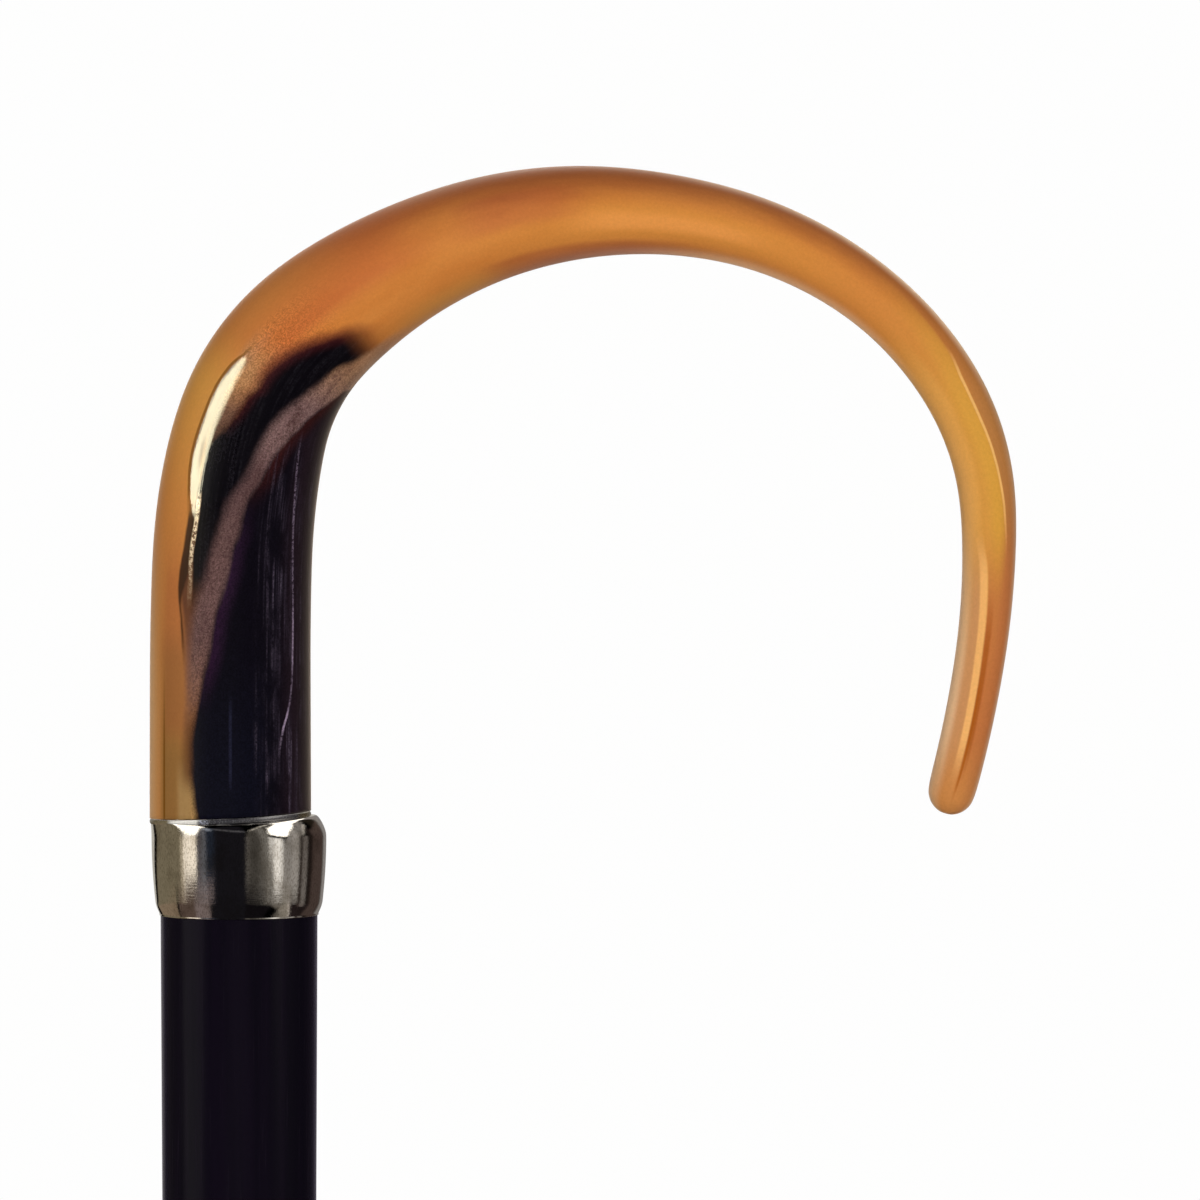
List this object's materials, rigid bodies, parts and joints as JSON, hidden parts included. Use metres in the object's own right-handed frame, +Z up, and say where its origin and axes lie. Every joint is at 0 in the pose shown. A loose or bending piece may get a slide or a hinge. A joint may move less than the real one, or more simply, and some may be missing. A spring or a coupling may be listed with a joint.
{
  "type": "walking cane",
  "caption": "Dress walking cane with a polished horn crook handle, a plain silver collar, a slim tapered hardwood shaft and a metal ferrule.",
  "frame": {"origin": "centre of the steel wear plug's flat foot, on the shaft's axis", "axes": "+Z up the shaft to the crook, +X the way the crook hooks over, +Y away from the viewer of the picture"},
  "size_m": [0.1112, 0.0224, 0.9002],
  "materials": {
    "horn": "polished blond and black horn",
    "bead_silver": "polished silver wire",
    "collar_silver": "polished sheet silver",
    "cement": "dull hard cement, hidden",
    "stud_steel": "turned steel, hidden",
    "hardwood": "polished black hardwood",
    "ferrule_brass": "handled brass",
    "plug_steel": "worn steel",
    "pin_brass": "brass, filed flush"
  },
  "bodies": {
    "root": {"horn_handle": "horn", "collar_bead": "bead_silver", "collar_shell": "collar_silver", "collar_packing": "cement", "joint_stud": "stud_steel", "shaft": "hardwood", "ferrule": "ferrule_brass", "ferrule_plug": "plug_steel", "ferrule_pins": "pin_brass"}
  },
  "joints": []
}
